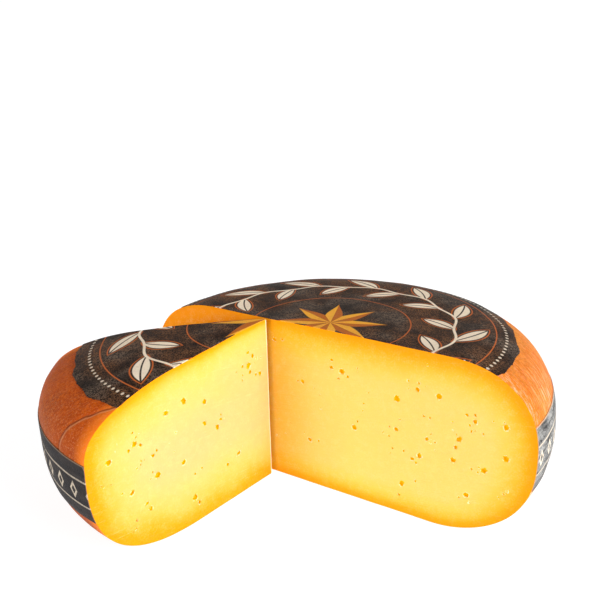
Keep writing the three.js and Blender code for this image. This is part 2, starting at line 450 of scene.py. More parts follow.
def cut_wheel_tree():
    """The tree of a piece of the wheel: its skin, cut by the wire, with holes laid open."""
    names = {**SECTION_INPUTS, **CUT_INPUTS, **PLACE_INPUTS}
    names.update({"Holes": "Object", "Rind": "Material", "Paste": "Material"})
    names.update({"Pale": "Float", "Film": "Float", "Crease": "Float", "Steps Around": "Int"})
    wire, size = new_tree("cut wheel", names)
    sheet, around, along = flat_sheet(wire, size["Steps Around"], ALONG_STEPS)
    wheel = creased(shaped(sheet, skin(size, around, along, 0.0)), size)
    wheel = stored(wheel, "rind", 1.0, "FACE")
    knife = kept_space(size)
    piece = joined("INTERSECT", wheel, knife)

    cloud = wire.node("GeometryNodeObjectInfo", None, {"Object": size["Holes"]}, "Geometry")
    across = attribute(wire, "size", "FLOAT_VECTOR")
    inset = attribute(wire, "inset", "FLOAT_VECTOR")
    sunk = wire.node("GeometryNodeSetPosition", None, {"Geometry": cloud, "Offset": inset})
    inputs = {0: across, 1: (MOUTH_WIDE, MOUTH_DEEP, MOUTH_WIDE)}
    mouth = wire.node("ShaderNodeVectorMath", {"operation": "MULTIPLY"}, inputs)
    holes = joined("UNION", lumpy_balls(sunk, across), lumpy_balls(cloud, mouth))
    holes = stored(holes, "hole", 1.0, "FACE")
    piece = without_crumbs(joined("DIFFERENCE", piece, holes))

    near_faces = {"target_element": "FACES"}
    for name, target in (("depth", wheel), ("from_cut", knife)):
        distance = wire.node("GeometryNodeProximity", near_faces, {0: target}, "Distance")
        piece = stored(piece, name, distance)
    here = wire.node("GeometryNodeInputPosition")
    piece = stored(piece, "wheel_place", here, "POINT", "FLOAT_VECTOR")
    piece = stored(piece, "pale", size["Pale"])
    piece = stored(piece, "film", size["Film"])
    inputs = {"Geometry": set_down(piece, size), "Material": size["Paste"]}
    piece = wire.node("GeometryNodeSetMaterial", None, inputs)
    on_rind = attribute(wire, "rind") > 0.5
    inputs = {"Geometry": piece, "Selection": on_rind, "Material": size["Rind"]}
    return ended(wire, wire.node("GeometryNodeSetMaterial", None, inputs))


# Gas holes lie in groups: place along the cut face, height, how many, how far they spread.
HALF_HOLES = [
    (-98, 58, 4, 12), (-70, 36, 4, 12), (-62, 72, 3, 10), (-31, 86, 2, 7), (-12, 64, 2, 6),
    (-8, 28, 3, 12), (14, 76, 6, 9), (22, 44, 3, 8), (48, 68, 1, 0), (48, 50, 4, 7),
    (52, 18, 3, 10), (60, 76, 4, 6), (66, 49, 4, 6), (62, 38, 3, 6), (72, 75, 1, 0),
    (84, 54, 4, 6), (81, 41, 1, 0), (89, 23, 2, 5), (92, 66, 6, 6), (98, 40, 3, 4),
    (108, 67, 2, 4), (109, 50, 1, 0),
]
WEDGE_FRONT_HOLES = [
    (17, 76, 7, 8), (8, 68, 2, 4), (28, 26, 3, 10), (43, 49, 3, 7), (51, 67, 1, 0),
    (52, 55, 1, 0), (62, 15, 3, 9), (65, 73, 3, 4), (68, 39, 1, 0), (77, 71, 1, 0),
    (87, 52, 4, 5), (85, 40, 2, 3), (91, 24, 2, 5), (97, 63, 5, 5), (101, 38, 3, 4),
    (112, 60, 3, 5),
]
WEDGE_BACK_HOLES = [
    (24, 68, 4, 10), (44, 34, 5, 14), (60, 66, 6, 12), (80, 42, 6, 12), (96, 64, 5, 9),
    (104, 30, 3, 6),
]
# Tiny ones lie between them, many no more than a dimple.
HALF_SPECKS = [
    (-100, 66, 4, 12), (-84, 44, 5, 20), (-50, 56, 5, 18), (-30, 36, 4, 16), (0, 50, 4, 16),
    (24, 80, 2, 4), (28, 60, 3, 10), (40, 46, 2, 5), (46, 38, 3, 7), (50, 56, 3, 4),
    (55, 77, 3, 4), (60, 33, 2, 5), (65, 91, 1, 0), (64, 62, 2, 4), (68, 47, 5, 6),
    (80, 58, 3, 5), (88, 22, 3, 6), (92, 61, 5, 5), (95, 38, 4, 4), (105, 67, 3, 5),
    (109, 30, 3, 6),
]
WEDGE_SPECKS = [
    (10, 78, 3, 5), (22, 72, 4, 7), (38, 52, 2, 4), (34, 34, 3, 8), (56, 30, 3, 9),
    (66, 72, 2, 4), (76, 54, 3, 9), (92, 52, 5, 6), (96, 66, 3, 4), (102, 40, 3, 5),
    (108, 64, 3, 5), (112, 48, 3, 6), (88, 43, 3, 4), (100, 22, 3, 8),
]
FIRST_HOLE = (2.2, 3.2)
OTHER_HOLE = (1.0, 2.4)
SPECK = (0.8, 1.6)
HOLE_WIDTH = (0.7, 1.0)
HOLE_REACH = (0.35, 1.0)
HOLE_SINK = (0.12, 0.12)
SPECK_SINK = (-0.3, 0.15)
HOLE_SPACE = 0.7
HALF_SEED = 11
HALF_SPECK_SEED = 5
WEDGE_FRONT_SEED = 29
WEDGE_SPECK_SEED = 7
WEDGE_BACK_SEED = 47
DRAW_STEP = 1664525
DRAW_SHIFT = 1013904223
DRAW_COUNT = 2 ** 32


def draws_from(seed):
    """Repeatable draws between 0 and 1, each worked out from the one before."""
    state = seed
    while True:
        state = (state * DRAW_STEP + DRAW_SHIFT) % DRAW_COUNT
        yield state / DRAW_COUNT


def holes_of(groups, seed, first=FIRST_HOLE, other=OTHER_HOLE, sink=HOLE_SINK, clear_of=()):
    """Each hole's place along a cut face, height, width, tallness, lean and share sunk in."""
    draws = draws_from(seed)

    def within(limits):
        return limits[0] + (limits[1] - limits[0]) * next(draws)

    holes = []
    for middle, height, count, spread in groups:
        for i in range(count):
            direction = FULL_TURN * next(draws)
            reach = spread * within(HOLE_REACH) if i else 0.0
            tall = within(other if i else first)
            along = middle + reach * math.cos(direction)
            up = height + reach * math.sin(direction)
            wide = tall * within(HOLE_WIDTH)
            lean = math.pi * next(draws)
            sunk = within(sink) if sink[0] < sink[1] else sink[0]
            hole = (along, up, wide, tall, lean, sunk)
            if all(apart(hole, one) for one in [*clear_of, *holes]):
                holes.append(hole)
    return holes


def apart(one, other):
    """Whether two holes keep clear of each other."""
    distance = math.hypot(one[0] - other[0], one[1] - other[1])
    return distance > (one[3] + other[3]) * HOLE_SPACE


def hole_cloud(name, faces):
    """Points for the holes of some cut faces, each face given by its foot, angle and inward side."""
    places, sizes, turns, insets = [], [], [], []
    for holes, foot, angle, inwards in faces:
        run = Vector((math.cos(angle), math.sin(angle), 0.0))
        inward = Vector((-run.y, run.x, 0.0)) * inwards
        for along, up, wide, tall, lean, sunk in holes:
            place = foot + run * along
            places.append((place.x, place.y, up))
            insets.extend(inward * tall * sunk)
            sizes += (wide, tall, tall)
            turns += (0.0, lean, angle)
    mesh = bpy.data.meshes.new(name)
    mesh.from_pydata(places, [], [])
    for label, values in (("size", sizes), ("turn", turns), ("inset", insets)):
        mesh.attributes.new(label, "FLOAT_VECTOR", "POINT").data.foreach_set("vector", values)
    cloud = bpy.data.objects.new(name, mesh)
    bpy.context.scene.collection.objects.link(cloud)
    return cloud


SMOOTH_ANGLE = math.radians(35)


def made(name, tree, inputs):
    """A plain mesh piece from a tree and the values of its inputs."""
    piece = bpy.data.objects.new(name, bpy.data.meshes.new(name))
    bpy.context.scene.collection.objects.link(piece)
    modifier = piece.modifiers.new(tree.name, "NODES")
    modifier.node_group = tree
    for item in tree.interface.items_tree:
        if item.in_out == "INPUT":
            modifier[item.identifier] = inputs[item.name]
    graph = bpy.context.evaluated_depsgraph_get()
    mesh = bpy.data.meshes.new_from_object(piece.evaluated_get(graph))
    piece.modifiers.remove(modifier)
    piece.data = mesh
    mesh.name = name
    for slot in reversed(range(len(mesh.materials))):
        if mesh.materials[slot] is None:
            mesh.materials.pop(index=slot)
    mesh.shade_smooth()
    mesh.set_sharp_from_angle(angle=SMOOTH_ANGLE)
    return piece


def tint(red, green, blue):
    """A colour from its screen values, 0 to 255, as the shaders count light."""
    linear = []
    for level in (red / 255, green / 255, blue / 255):
        curved = ((level + 0.055) / 1.055) ** 2.4
        linear.append(curved if level > 0.04045 else level / 12.92)
    return (*linear, 1.0)


def new_material(name, constants):
    """A material, a wire to start its nodes from, and its shader with its constant sockets set."""
    material = bpy.data.materials.new(name)
    material.use_nodes = True
    shader = material.node_tree.nodes["Principled BSDF"]
    for socket, value in constants.items():
        shader.inputs[socket].default_value = value
    return material, Wire(material.node_tree), shader


def read(wire, name, output="Fac"):
    """An attribute of the piece, in a material."""
    return wire.node("ShaderNodeAttribute", {"attribute_name": name}, None, output)


def mixed(mask, under, over):
    """Colour over laid on colour under where the mask is 1."""
    inputs = {"Factor_Float": mask, "A_Color": under, "B_Color": over}
    return mask.node("ShaderNodeMix", {"data_type": "RGBA"}, inputs, "Result_Color")


def turned_place(place, angle, lengths):
    """A place turned about the upright axis, then stretched."""
    inputs = {"Vector": place, "Rotation": (0.0, 0.0, angle)}
    return stretched(place.node("ShaderNodeMapping", None, inputs), lengths)


def bumped(wire, height, depth, shader):
    """A height from 0 to 1 as the shader's bump; depth is what 1 stands for, in millimetres."""
    inputs = {"Height": height, "Distance": depth * METRES}
    wire.fill(shader.inputs["Normal"], wire.node("ShaderNodeBump", None, inputs))


# Paste: lemon yellow in the middle, deeper and more golden towards the rind. On the large face it is
# also painted deeper gold beside and behind the wedge, as painted shade. The wire left faint long
# lines across it. A painted highlight makes a pale edge at the wedge's point. The gas holes have pale
# lips, a painted highlight on their rims and upper walls, and their bottoms are painted a deeper gold,
# as painted shade.
PASTE_REACH = 24.0
PASTE_TINTS = [
    (0.0, tint(245, 153, 6)),
    (0.1, tint(246, 157, 10)),
    (0.22, tint(248, 167, 22)),
    (0.4, tint(250, 184, 56)),
    (0.66, tint(251, 197, 84)),
    (1.0, tint(252, 202, 106)),
]
NEAR_RIND = 8.0
CLOUD_LENGTH = 28.0
CLOUD_SHARE = 0.4
CLOUD_FULL = 12.0
CLOUD_REACH = 20.0
# The golden tone reaches less deep near the top of the wedge and near the foot of the half,
# and deeper low on the wedge: by how much, and between which heights.
TOP_THIN = 0.6
TOP_HEIGHTS = (70.0, 95.0)
LOW_THICK = 0.5
LOW_HEIGHTS = (80.0, 50.0)
FOOT_THIN = 0.3
FOOT_HEIGHTS = (45.0, 15.0)
PALE_TINT = tint(252, 191, 122)
PALE_DEPTHS = (4.0, 38.0)
ASIDE_SHADE_TINT = tint(250, 174, 14)
ASIDE_SHADE_SPAN = (-2.0, -38.0)
ASIDE_SHADE_SHARE = 0.75
BEHIND_SHADE_TINT = tint(237, 144, 6)
BEHIND_SHADE_SPAN = (-44.0, -58.0)
BEHIND_SHADE_SHARE = 0.85
MEALY_TINT = tint(255, 222, 150)
MEALY_LENGTH = 0.9
MEALY_SHARE = 0.6
PATCHY_LENGTH = 4.0
PATCHY_SHARE = 0.5
LEAST_MEALY = 0.03
LINE_TILT = 0.14
LINE_LENGTHS = (45.0, 45.0, 0.5)
LINE_LIMITS = (0.66, 0.72)
LINE_PATCHES = (0.4, 0.6)
LINE_SHARE = 0.4
LINE_ON_HALF = 0.4
TIP_HIGHLIGHT_OUTER = 2.0
TIP_HIGHLIGHT_INNER = 1.4
LIP_HIGHLIGHT_TINT = tint(255, 244, 200)
LIP_HIGHLIGHT_SHARE = 0.65
HALF_HOLE_SHADE_TINT = tint(254, 196, 6)
WEDGE_HOLE_SHADE_TINT = tint(246, 186, 6)
BOTTOM_DEPTHS = (0.05, 0.22)
PASTE_ROUGHNESS = 0.42
LINE_ROUGHNESS = 0.3
HOLE_GLOSS = 0.15
LINE_RELIEF = 0.6
MEALY_RELIEF = 0.5
PATCHY_RELIEF = 0.4
PASTE_RELIEF = 0.35


def paste_material():
    constants = {
        "Subsurface Weight": 0.3,
        "Subsurface Radius": (1.0, 0.5, 0.12),
        "Subsurface Scale": 0.0028,
        "Specular IOR Level": 0.05,
    }
    material, wire, shader = new_material("paste", constants)
    place = read(wire, "wheel_place", "Vector")
    x, y, z = place.parts()
    depth = read(wire, "depth")
    inside = depth.between(0.0, NEAR_RIND)
    on_wedge = read(wire, "pale")
    on_half = 1 - on_wedge
    cloudy = waves(place, CLOUD_LENGTH, 4.0)

    thin = 1 - on_wedge * TOP_THIN * z.between(*TOP_HEIGHTS)
    thin = thin - on_half * FOOT_THIN * z.between(*FOOT_HEIGHTS)
    thick = on_wedge * LOW_THICK * z.between(*LOW_HEIGHTS)
    share = depth / ((thin + thick) * PASTE_REACH)
    share = share + cloudy * CLOUD_SHARE * depth.between(0.0, CLOUD_FULL)
    colour = wire.node("ShaderNodeValToRGB", {"stops": PASTE_TINTS}, {0: share}, "Color")
    pale = on_wedge * (depth / thin + cloudy * CLOUD_REACH).between(*PALE_DEPTHS)
    colour = mixed(pale, colour, PALE_TINT)
    # Painted shade: the large face is painted deeper gold beside the wedge and behind it, where the
    # wedge keeps light off it.
    aside_shade = x.between(*ASIDE_SHADE_SPAN) * on_half * inside
    colour = mixed(aside_shade * ASIDE_SHADE_SHARE, colour, ASIDE_SHADE_TINT)
    behind_shade = x.between(*BEHIND_SHADE_SPAN) * on_half
    colour = mixed(behind_shade * BEHIND_SHADE_SHARE, colour, BEHIND_SHADE_TINT)

    mealy = noise(place, MEALY_LENGTH, 3.0)
    patchy = noise(place, PATCHY_LENGTH, 3.0)
    light = (mealy - 0.5) * MEALY_SHARE + (patchy - 0.5) * PATCHY_SHARE + LEAST_MEALY
    colour = mixed(light.clamped() * inside, colour, MEALY_TINT)
    inputs = {"Vector": place, "Rotation": (0.0, LINE_TILT, 0.0)}
    tilted = wire.node("ShaderNodeMapping", None, inputs)
    lines = noise(stretched(tilted, LINE_LENGTHS), 1.0)
    scratch = lines.between(*LINE_LIMITS) * patchy.between(*LINE_PATCHES)
    scratch = scratch * (LINE_ON_HALF + on_wedge * (1 - LINE_ON_HALF))
    colour = mixed(scratch * LINE_SHARE, colour, MEALY_TINT)
    # Painted highlight: a pale line along the wedge's point, where its edge would catch the light.
    tip = (x * x + y * y).between(TIP_HIGHLIGHT_OUTER ** 2, TIP_HIGHLIGHT_INNER ** 2) * on_wedge
    colour = mixed(tip, colour, LIP_HIGHLIGHT_TINT)

    hole = read(wire, "hole")
    # Painted highlight: the holes' walls are painted pale; the bottoms are painted over below.
    colour = mixed(hole * LIP_HIGHLIGHT_SHARE, colour, LIP_HIGHLIGHT_TINT)
    # Painted shade: the holes' bottoms are painted a deeper, more golden yellow.
    shaded_bottom = hole * read(wire, "from_cut").between(*BOTTOM_DEPTHS)
    hole_shade = mixed(on_wedge, HALF_HOLE_SHADE_TINT, WEDGE_HOLE_SHADE_TINT)
    wire.fill(shader.inputs["Base Color"], mixed(shaded_bottom, colour, hole_shade))
    roughness = PASTE_ROUGHNESS + (lines - 0.5) * LINE_ROUGHNESS - hole * HOLE_GLOSS
    wire.fill(shader.inputs["Roughness"], roughness)
    relief = lines * LINE_RELIEF + mealy * MEALY_RELIEF + patchy * PATCHY_RELIEF
    bumped(wire, relief * (1 - hole), PASTE_RELIEF, shader)
    return material


# Rind: an orange-brown coat, finely pebbled and veined like leather. Beside the cuts it is painted
# brighter, as painted light coming through the paste, and it is hazy away from them. Low on the wedge
# it is painted darker, as painted shade. The half wears a light film, scuffed white near its cut, and
# its paler coat is partly that film and partly painted light of its lit side. The wedge's crease is
# painted dark, as painted shade in the groove, with a pale lip that is a painted highlight.
RIND_TINT = tint(188, 72, 8)
RIND_DARK = tint(146, 48, 8)
RIND_LIGHT = tint(222, 102, 24)
BROAD_LENGTH = 26.0
BROAD_LIMITS = (0.4, 0.66)
MOTTLE_LENGTH = 2.6
MOTTLE_SHARE = 1.5
SPECK_LENGTH = 0.7
PEBBLE = 1.3
LEAST_LIGHT = 0.3
VEIN_TINT = tint(208, 78, 16)
VEIN_LENGTH = 6.0
VEIN_WIDTH = 0.018
VEIN_SHARE = 0.5
FILM_AND_LIGHT_TINT = tint(252, 168, 64)
FILM_LENGTHS = (9.0, 0.9, 7.0)
FILM_TURN = 0.2
FILM_AND_LIGHT_SHARE = 0.34
FILM_PATCHES = 0.6
RIND_LOW_SHADE = tint(128, 56, 24)
LOW_SHADE_SPAN = (92.0, 62.0)
LOW_SHADE_SHARE = 0.8
HAZE_TINT = tint(222, 164, 120)
HAZE_REACH = (15.0, 60.0)
HAZE_SHARE = 0.1
HAZE_SPECKS = (0.55, 0.68)
SPECK_SHARE = 0.12
LOW_SPECK_SHARE = 0.35
PAINTED_GLOW_TINT = tint(250, 130, 34)
PAINTED_GLOW_REACH = (9.0, 0.5)
PAINTED_GLOW_SHARE = 0.8
# The half's film is rubbed pale in streaks beyond its cut, partly wear and partly painted sheen, and
# low down, near the cut, it is painted pale as a painted reflection of the floor.
SCUFF_AND_SHEEN_TINT = tint(255, 224, 194)
STREAK_REACH = (8.0, 22.0)
STREAK_HEIGHTS = (92.0, 78.0)
STREAK_LIMITS = (0.5, 0.64)
STREAK_WEAR_AND_SHEEN_SHARE = 0.35
FOOT_REFLECTION_HEIGHTS = (40.0, 32.0)
FOOT_REFLECTION_SHARE = 0.45
SHEEN_AND_WEAR_REACH = (55.0, 20.0)
SCUFF_TURNS = (0.0, 0.3, 0.6)
SCUFF_LENGTHS = (6.0, 0.5, 6.0)
SCUFF_LIMITS = (0.58, 0.68)
SCUFF_PATCHES = (0.38, 0.5)
SCUFF_REACH = 9.0
SCUFF_SHARE = 0.12
NEAR_SCUFF_SHARE = 0.6
CREASE_SHADE_TINT = tint(112, 56, 34)
CREASE_HALF = 0.95
CREASE_SHADE_SHARE = 0.75
CREASE_LIP = 1.3
CREASE_LIP_HIGHLIGHT = 0.4
CREASE_SINK = 0.6
RIND_ROUGHNESS = 0.55
MOTTLE_ROUGHNESS = 0.4
FILM_SMOOTH = 0.6
MOTTLE_RELIEF = 0.25
PEBBLE_RELIEF = 0.25
SPECK_RELIEF = 0.3
RIND_RELIEF = 0.35


def fine_lines(place, turns, lengths, limits):
    """Short thin lines that run in several directions: 1 on a line, 0 off it."""
    lines = 0.0
    for turn in turns:
        line = noise(turned_place(place, turn, lengths), 1.0).between(*limits)
        lines = line.maths("MAXIMUM", lines)
    return lines


def rind_material():
    constants = {
        "Subsurface Weight": 0.15,
        "Subsurface Radius": (1.0, 0.28, 0.06),
        "Subsurface Scale": 0.003,
        "Specular IOR Level": 0.02,
    }
    material, wire, shader = new_material("rind", constants)
    place = read(wire, "wheel_place", "Vector")
    _, y, z = place.parts()
    from_cut = read(wire, "from_cut")
    film = read(wire, "film")
    broad = noise(place, BROAD_LENGTH, 3.0)
    mottle = noise(place, MOTTLE_LENGTH, 4.0)
    speck = noise(place, SPECK_LENGTH)
    inputs = {"Vector": place, "Scale": 1 / PEBBLE, "Randomness": 1.0}
    pebble = wire.node("ShaderNodeTexVoronoi", {"feature": "F1"}, inputs, "Distance")
    colour = mixed(broad.between(*BROAD_LIMITS), RIND_TINT, RIND_DARK)
    light = (mottle - 0.5) * MOTTLE_SHARE + (pebble - 0.5) + LEAST_LIGHT
    colour = mixed(light.clamped(), colour, RIND_LIGHT)
    vein = abs(waves(place, VEIN_LENGTH, 4.0)).between(VEIN_WIDTH, 0.0) * VEIN_SHARE
    colour = mixed(vein, colour, VEIN_TINT)

    streak = noise(turned_place(place, FILM_TURN, FILM_LENGTHS), 1.0, 3.0)
    patches = (broad - 0.5) * FILM_PATCHES + (streak - 0.5) * FILM_PATCHES
    # Partly a real film and partly painted light: the lit half's coat is painted paler than the shaded
    # wedge's.
    film_and_light_coat = film * (patches + FILM_AND_LIGHT_SHARE).clamped() * (1 - vein)
    colour = mixed(film_and_light_coat, colour, FILM_AND_LIGHT_TINT)
    # Painted shade: the wedge's rind is painted darker and browner low down.
    low = z.between(*LOW_SHADE_SPAN) * (1 - film)
    colour = mixed(low * LOW_SHADE_SHARE, colour, RIND_LOW_SHADE)
    specks = speck.between(*HAZE_SPECKS) * (SPECK_SHARE + low * LOW_SPECK_SHARE)
    haze = from_cut.between(*HAZE_REACH) * HAZE_SHARE * low + specks
    colour = mixed(haze, colour, HAZE_TINT)
    # Painted light: the rind is painted brighter orange beside the cuts, as if light came through the
    # paste.
    colour = mixed(from_cut.between(*PAINTED_GLOW_REACH) * PAINTED_GLOW_SHARE, colour, PAINTED_GLOW_TINT)

    # Partly wear and partly painted sheen in the streaks; low down near the cut, a painted reflection
    # of the floor.
    streaks = streak.between(*STREAK_LIMITS) * from_cut.between(*STREAK_REACH)
    wear_and_painted_sheen = streaks * z.between(*STREAK_HEIGHTS) * STREAK_WEAR_AND_SHEEN_SHARE
    wear_and_painted_sheen = wear_and_painted_sheen + z.between(*FOOT_REFLECTION_HEIGHTS) * FOOT_REFLECTION_SHARE
    colour = mixed(film * wear_and_painted_sheen * y.between(*SHEEN_AND_WEAR_REACH), colour, SCUFF_AND_SHEEN_TINT)
    scuff = fine_lines(place, SCUFF_TURNS, SCUFF_LENGTHS, SCUFF_LIMITS)
    scuff = scuff * mottle.between(*SCUFF_PATCHES) * film
    near_cut = from_cut.between(SCUFF_REACH, 0.0)
    colour = mixed(scuff * (SCUFF_SHARE + near_cut * NEAR_SCUFF_SHARE), colour, SCUFF_AND_SHEEN_TINT)

    beside, there = beside_crease(place)
    there = there * (film < 0.5)
    # Painted shade in the crease's groove, and a painted highlight on its lip beside it.
    crease = abs(beside).between(CREASE_HALF, 0.0) * there
    lip_highlight = abs(beside - CREASE_LIP).between(CREASE_HALF, 0.0) * there
    colour = mixed(lip_highlight * CREASE_LIP_HIGHLIGHT, colour, HAZE_TINT)
    wire.fill(shader.inputs["Base Color"], mixed(crease * CREASE_SHADE_SHARE, colour, CREASE_SHADE_TINT))
    roughness = RIND_ROUGHNESS + (mottle - 0.5) * MOTTLE_ROUGHNESS
    wire.fill(shader.inputs["Roughness"], roughness)
    relief = mottle * MOTTLE_RELIEF + pebble * PEBBLE_RELIEF + speck * SPECK_RELIEF
    relief = relief * (1 - film * FILM_SMOOTH) - crease * CREASE_SINK
    bumped(wire, relief, RIND_RELIEF, shader)
    return material


half_low, half_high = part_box("half_wheel")
half_middle = (half_low + half_high) / 2
wedge_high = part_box("wedge")[1]
HALF_PLACE = Vector((half_middle.x, half_high.y - WHEEL_RADIUS * METRES, 0.0))
WEDGE_PLACE = Vector((wedge_high.x, wedge_high.y, 0.0))
HALF_CUT = {
    **HALF_SECTION,
    "Opening": HALF_OPENING,
    "Facing": RIGHT_ANGLE,
    "Past Middle": PAST_MIDDLE,
    "Turn": 0.0,
    "Place": HALF_PLACE,
    "Pale": 0.0,
    "Film": 1.0,
    "Crease": 0.0,
    "Steps Around": HALF_STEPS,
}
WEDGE_CUT = {
    **WEDGE_SECTION,
    "Opening": WEDGE_OPENING,
    "Facing": 0.0,
    "Past Middle": 0.0,
    "Turn": WEDGE_TURN,
    "Place": WEDGE_PLACE,
    "Pale": 1.0,
    "Film": 0.08,
    "Crease": 1.0,
    "Steps Around": WEDGE_STEPS,
}

foot = Vector((0.0, -PAST_MIDDLE, 0.0))
point = Vector((0.0, 0.0, 0.0))
half_holes = holes_of(HALF_HOLES, HALF_SEED)
half_holes += holes_of(HALF_SPECKS, HALF_SPECK_SEED, SPECK, SPECK, SPECK_SINK, half_holes)
front_holes = holes_of(WEDGE_FRONT_HOLES, WEDGE_FRONT_SEED)
front_holes += holes_of(WEDGE_SPECKS, WEDGE_SPECK_SEED, SPECK, SPECK, SPECK_SINK, front_holes)
back_holes = holes_of(WEDGE_BACK_HOLES, WEDGE_BACK_SEED)
half_cloud = hole_cloud("half holes", [(half_holes, foot, 0.0, 1)])
wedge_cloud = hole_cloud("wedge holes", [
    (front_holes, point, WEDGE_OPENING / 2, -1),
    (back_holes, point, -WEDGE_OPENING / 2, 1),
])

cut_wheel = cut_wheel_tree()
cheese_finish = {"Rind": rind_material(), "Paste": paste_material()}
half_cheese = made("half_cheese", cut_wheel, {**HALF_CUT, **cheese_finish, "Holes": half_cloud})
wedge_cheese = made("wedge_cheese", cut_wheel, {**WEDGE_CUT, **cheese_finish, "Holes": wedge_cloud})
for piece, node in ((half_cheese, "half_wheel"), (wedge_cheese, "wedge")):
    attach(piece, "root")
    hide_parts(node)
for cloud in (half_cloud, wedge_cloud):
    bpy.data.objects.remove(cloud)


# ----------------------------
# The labels. Thin printed tissue, glued on while the wheel was whole: a round with a torn edge
# on the top, and a band with cut edges around the side. The wire cut them with the cheese.
# ----------------------------

LABEL_UNDER = 0.05
LABEL_OVER = 0.38
LABEL_STEPS = 720
ROUND_ROWS = 56
BAND_ROWS = 14
HALF_LABEL_RADIUS = 102.7
WEDGE_LABEL_RADIUS = 105.5
HALF_BAND = (35.7, 70.6)
WEDGE_BAND = (32.9, 63.9)
# The torn edge's waves: how many go round, how deep they are and where they start.
TORN_WAVES = [(9, 0.8, 0.4), (23, 0.5, 2.1), (41, 0.3, 4.0)]
SHRED_LENGTH = 2.6
SHRED_DEPTH = 1.7


def label_tree():
    """The tree of a label: a closed sheet on the skin, its rows out below and back above."""
    names = {**SECTION_INPUTS, **CUT_INPUTS, **PLACE_INPUTS}
    names.update({"Start": "Float", "End": "Float", "Tear": "Float", "Rows": "Int"})
    names["Tissue"] = "Material"
    wire, size = new_tree("tissue label", names)
    rows = size["Rows"]
    last_row = rows * 2 + 2
    sheet, around, row_share = flat_sheet(wire, LABEL_STEPS, last_row)
    # The rows past the turn lie above, and the very last closes the sheet on its first.
    row = (row_share * last_row).maths("ROUND")
    share = ((rows + 0.5 - abs(row - rows - 0.5)) / rows).clamped()
    over = abs(row - rows * 1.5 - 1) < rows * 0.5 + 0.5
    angle = around * FULL_TURN
    across = angle.maths("COSINE") * WHEEL_RADIUS
    beyond = angle.maths("SINE") * WHEEL_RADIUS
    tear = waves(vector(across, beyond, 0.0), SHRED_LENGTH) * SHRED_DEPTH
    for count, depth, phase in TORN_WAVES:
        tear = tear + (angle * count + phase).maths("SINE") * depth
    along = size["Start"] + (size["End"] - size["Start"] + tear * size["Tear"]) * share
    lift = LABEL_UNDER + over * (LABEL_OVER - LABEL_UNDER)
    sheet = stored(sheet, "width_share", share)
    label = shaped(sheet, skin(size, around, along, lift))
    label = joined("INTERSECT", label, kept_space(size))
    here = wire.node("GeometryNodeInputPosition")
    label = stored(label, "wheel_place", here, "POINT", "FLOAT_VECTOR")
    inputs = {"Geometry": set_down(label, size), "Material": size["Tissue"]}
    return ended(wire, wire.node("GeometryNodeSetMaterial", None, inputs))


def along_at_radius(section, radius):
    """The place along a section where its upper shoulder has this radius."""
    share = (radius - section["Top Flat"]) / (WHEEL_RADIUS - section["Top Flat"])
    turn = math.asin(share ** (section["Upper Sideways"] / 2))
    return TOP_EDGE - turn / RIGHT_ANGLE * (TOP_EDGE - WAIST_LINE)


def along_at_height(section, height):
    """The place along a section where one of its shoulders has this height."""
    waist = section["Waist"]
    if height < waist:
        share = 1 - height / waist
        turn = math.acos(share ** (section["Lower Upwards"] / 2))
        return BASE_EDGE + turn / RIGHT_ANGLE * (WAIST_LINE - BASE_EDGE)
    share = (height - waist) / (section["Height"] - section["Crown"] - waist)
    turn = math.acos(share ** (section["Upper Upwards"] / 2))
    return TOP_EDGE - turn / RIGHT_ANGLE * (TOP_EDGE - WAIST_LINE)


def round_extent(section, radius):
    """A round label's inputs: from the wheel's middle out to its torn edge."""
    rate = along_at_radius(section, radius + 0.5) - along_at_radius(section, radius - 0.5)
    end = along_at_radius(section, radius)
    return {"Start": 1.0, "End": end, "Tear": rate, "Rows": ROUND_ROWS}


def band_extent(section, band):
    """A band's inputs: from its upper to its lower edge, neither of them torn."""
    low, high = (along_at_height(section, height) for height in band)
    return {"Start": high, "End": low, "Tear": 0.0, "Rows": BAND_ROWS}


TISSUE_DARK = tint(20, 11, 7)
TISSUE_BROWN = tint(140, 98, 68)
TISSUE_GREY = tint(130, 110, 94)
CREAM = tint(252, 234, 208)
ORANGE_INK = tint(206, 104, 44)
GOLD_INK = tint(250, 178, 52)
AMBER_INK = tint(196, 104, 30)
FOLD_TURNS = (0.3, 1.2, 2.3)
FOLD_LENGTHS = (0.35, 3.0, 3.0)
FOLD_LIMITS = (0.58, 0.66)
FOLD_WEAR = (0.15, 0.7)
GRAIN_LENGTH = 0.75
GRAIN_LIMITS = (0.5, 0.62)
GRAIN_WEAR = (0.12, 0.65)
WEAR_LENGTH = 16.0
WEAR_LIMITS = (0.35, 0.65)
TISSUE_ROUGHNESS = 0.5
WORN_ROUGHNESS = 0.3
GRAIN_RELIEF = 0.6
FOLD_RELIEF = 0.5
TISSUE_RELIEF = 0.22


def tissue(wire, place, shader):
    """How worn the tissue is at each place, in fine folds and in grain; sets its gloss and relief."""
    folds = fine_lines(place, FOLD_TURNS, FOLD_LENGTHS, FOLD_LIMITS)
    grain = noise(place, GRAIN_LENGTH)
    patchy = noise(place, WEAR_LENGTH, 3.0).between(*WEAR_LIMITS)
    worn = folds * (FOLD_WEAR[0] + patchy * FOLD_WEAR[1])
    worn = worn + grain.between(*GRAIN_LIMITS) * (GRAIN_WEAR[0] + patchy * GRAIN_WEAR[1])
    worn = worn.clamped()
    wire.fill(shader.inputs["Roughness"], TISSUE_ROUGHNESS + worn * WORN_ROUGHNESS)
    bumped(wire, grain * GRAIN_RELIEF + folds * FOLD_RELIEF, TISSUE_RELIEF, shader)
    return worn


